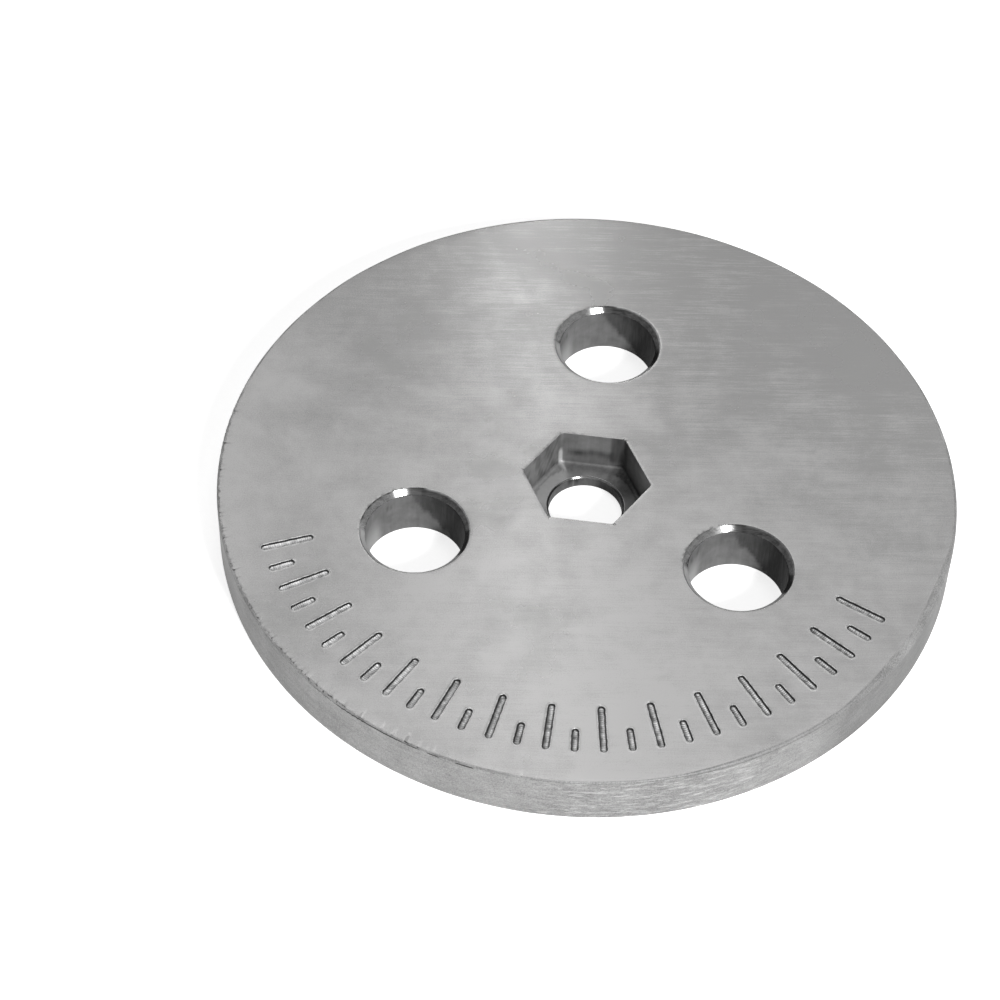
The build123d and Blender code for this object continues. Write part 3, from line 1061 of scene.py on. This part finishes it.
def bevelMaterial(name, look):
    # Cut bevels: smooth, with thin turning lines, darkened by painted reflection on one side, and rubbed dull
    # and paled by painted light on the other.
    material, tree, shader, spot = startFinish(name, look)
    parts = split(tree, spot)
    laid = joined(tree, parts[0], parts[2], parts[1])
    lines = brushed(tree, laid, look["lineLength"], look["lineWidth"], look["lineUnevenness"])
    bands = remapped(tree, lines, *look["lineRamp"])
    colour = blended(tree, bands, grey(look["dark"]), grey(look["light"]))
    dark = blended(tree, bands, grey(look["stained"]), grey(look["streak"]))
    tree.links.new(stained(tree, colour, dark, grey(look["pale"])), shader.inputs["Base Color"])
    rubbed = remapped(tree, attribute(tree, "stain"), 0.0, -1.0)
    rough = remapped(tree, rubbed, 0.0, 1.0, look["roughness"], look["rubbedRoughness"])
    tree.links.new(rough, shader.inputs["Roughness"])
    metallic = remapped(tree, rubbed, 0.0, 1.0, look["metallic"], look["rubbedMetallic"])
    tree.links.new(metallic, shader.inputs["Metallic"])
    return material


markLook = {
    # wall is painted shade in the grooves, lip a painted highlight on the lips, and shade and pale the painted
    # shade and light on the floor
    "wall": 0.04, "floor": 0.68, "shade": 0.12, "pale": 0.92, "lip": 0.55, "roughness": 0.4, "metallic": 0.4,
    "anisotropic": 0.3, "floorRamp": (0.70, 0.97), "lipRamp": (0.0, 0.10),
    "ripplePitch": 0.00285,  # in tenths of a metre, as the UV map
    "rippleBreaks": 14.0, "breakScale": 650.0, "rippleRamp": (-1.0, 1.0, 0.74, 1.05),
    "rippleBump": 1.8e-5, "blotScale": 1500.0, "blotRamp": (0.35, 0.6, 0.5, 1.0),
}


def markMaterial(name, look):
    # Engraved strokes: lips paled by a painted highlight, walls darkened by painted shade and a floor that
    # painted shade darkens and painted light makes paler. The sine of the run along the stroke, shifted by
    # noise, ripples it crosswise, and blots darken it.
    material, tree, shader, spot = startFinish(name, look)
    run = place(tree, "ShaderNodeUVMap", uv_map="grainRun").outputs[0]
    breaks = noise(tree, spot, look["breakScale"])
    blots = noise(tree, spot, look["blotScale"])
    along = arithmetic(tree, "MULTIPLY", split(tree, run)[0], 2 * math.pi / look["ripplePitch"])
    ripple = arithmetic(tree, "SINE", arithmetic(tree, "MULTIPLY_ADD", breaks, look["rippleBreaks"], along))
    deep = attribute(tree, "wear")
    floor = remapped(tree, deep, *look["floorRamp"])
    ground = stained(tree, grey(look["floor"]), grey(look["shade"]), grey(look["pale"]))
    colour = blended(tree, floor, grey(look["wall"]), ground)
    colour = blended(tree, remapped(tree, deep, *look["lipRamp"]), grey(look["lip"]), colour)
    shade = arithmetic(tree, "MULTIPLY", remapped(tree, ripple, *look["rippleRamp"]),
                       remapped(tree, blots, *look["blotRamp"]))
    tree.links.new(blended(tree, 1.0, colour, shade, "MULTIPLY"), shader.inputs["Base Color"])
    bumped(tree, shader, arithmetic(tree, "MULTIPLY", ripple, floor), look["rippleBump"])
    return material


# In the order of the finishes' numbers.
finishes = [
    faceMaterial("brushedZinc", faceLook, 0.0),
    rimMaterial("turnedZinc", rimLook),
    wallMaterial("dullZinc", boreLook),
    markMaterial("engravedZinc", markLook),
    faceMaterial("backZinc", backLook, 0.31),
    bevelMaterial("cutZinc", bevelLook),
    wallMaterial("recessZinc", recessLook),
    rimMaterial("wornZinc", cornerLook),
]
plate = skin.build("zincPlate", finishes)
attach(plate, "root")
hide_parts("anode_plate")
print("stage 6: the plate is built and finished")

studio = {
    "floorSize": 8.0, "floorDrop": 5e-5, "floorColour": 0.82, "floorGlow": 0.75, "ambient": 0.08,
    "objectCentre": (0.0, 0.0, 0.0037),
    # name: azimuth and elevation in degrees, distance and size in metres, watts
    "lamps": {
        "keyLamp": (-56.0, 38.0, 1.0, (0.16, 0.16), 8.5),
        "topBox": (93.0, 80.0, 1.2, (0.8, 0.45), 2.6),
        "streakLamp": (96.5, 38.0, 1.2, (0.05, 0.16), 0.34),
    },
}


def lightPathMask(tree):
    # One for camera, glossy and transmission rays.
    seen = place(tree, "ShaderNodeLightPath").outputs
    first = arithmetic(tree, "MAXIMUM", seen["Is Camera Ray"], seen["Is Glossy Ray"])
    return arithmetic(tree, "MAXIMUM", first, seen["Is Transmission Ray"])


def buildFloor():
    # A flat pale floor. Its glow is added only where it is seen, so that the object's shadow stays on it.
    half, low = studio["floorSize"] / 2, -studio["floorDrop"]
    mesh = bpy.data.meshes.new("floor")
    corners = [(-half, -half, low), (half, -half, low), (half, half, low), (-half, half, low)]
    mesh.from_pydata(corners, [], [(0, 1, 2, 3)])
    floor = bpy.data.objects.new("floor", mesh)
    bpy.context.collection.objects.link(floor)
    material = bpy.data.materials.new("paleFloor")
    material.use_nodes = True
    tree = material.node_tree
    tree.nodes.clear()
    matt = place(tree, "ShaderNodeBsdfDiffuse", {"Color": grey(studio["floorColour"])}).outputs[0]
    strength = arithmetic(tree, "MULTIPLY", lightPathMask(tree), studio["floorGlow"])
    glow = place(tree, "ShaderNodeEmission", {"Color": grey(1.0), "Strength": strength}).outputs[0]
    both = place(tree, "ShaderNodeAddShader", {0: matt, 1: glow}).outputs[0]
    place(tree, "ShaderNodeOutputMaterial", {"Surface": both})
    mesh.materials.append(material)


def buildWorld():
    # White where it is seen, and a dim even light for everything else.
    world = bpy.data.worlds.new("studioWorld")
    world.use_nodes = True
    tree = world.node_tree
    tree.nodes.clear()
    strength = remapped(tree, lightPathMask(tree), 0.0, 1.0, studio["ambient"], 1.0)
    light = place(tree, "ShaderNodeBackground", {"Color": grey(1.0), "Strength": strength}).outputs[0]
    place(tree, "ShaderNodeOutputWorld", {"Surface": light})
    bpy.context.scene.world = world


def toward(azimuth, elevation):
    # Unit direction from an azimuth, counted from +X towards +Y, and an elevation.
    a, e = math.radians(azimuth), math.radians(elevation)
    return np.array([math.cos(a) * math.cos(e), math.sin(a) * math.cos(e), math.sin(e)])


def buildLamps():
    # Each lamp stands on its direction and looks at the object's centre.
    for name, (azimuth, elevation, distance, size, watts) in studio["lamps"].items():
        data = bpy.data.lights.new(name, "AREA")
        data.shape, data.size, data.size_y, data.energy = "RECTANGLE", size[0], size[1], watts
        lamp = bpy.data.objects.new(name, data)
        away = Vector(toward(azimuth, elevation))
        lamp.location = Vector(studio["objectCentre"]) + away * distance
        lamp.rotation_euler = away.to_track_quat("Z", "Y").to_euler()
        bpy.context.collection.objects.link(lamp)


view = {
    "location": (0.017623639, -0.247544358, 0.297809835),
    "turn": (40.001128, -0.967534, 7.768601),  # degrees
    "lens": 106.5925, "sensor": 36.0, "shift": -0.001, "clipStart": 0.01,
}


def buildCamera():
    # The camera that the photograph was taken with, as fitted to it.
    camera = bpy.data.objects.new("photoCamera", bpy.data.cameras.new("photoCamera"))
    camera.data.lens, camera.data.sensor_width = view["lens"], view["sensor"]
    camera.data.clip_start = view["clipStart"]
    camera.data.shift_x = view["shift"]
    camera.location = view["location"]
    camera.rotation_euler = [math.radians(turn) for turn in view["turn"]]
    bpy.context.collection.objects.link(camera)
    bpy.context.scene.camera = camera


buildFloor()
buildWorld()
buildLamps()
buildCamera()
bpy.context.scene.view_settings.view_transform = "Standard"
print("stage 7: floor, light and camera are set")
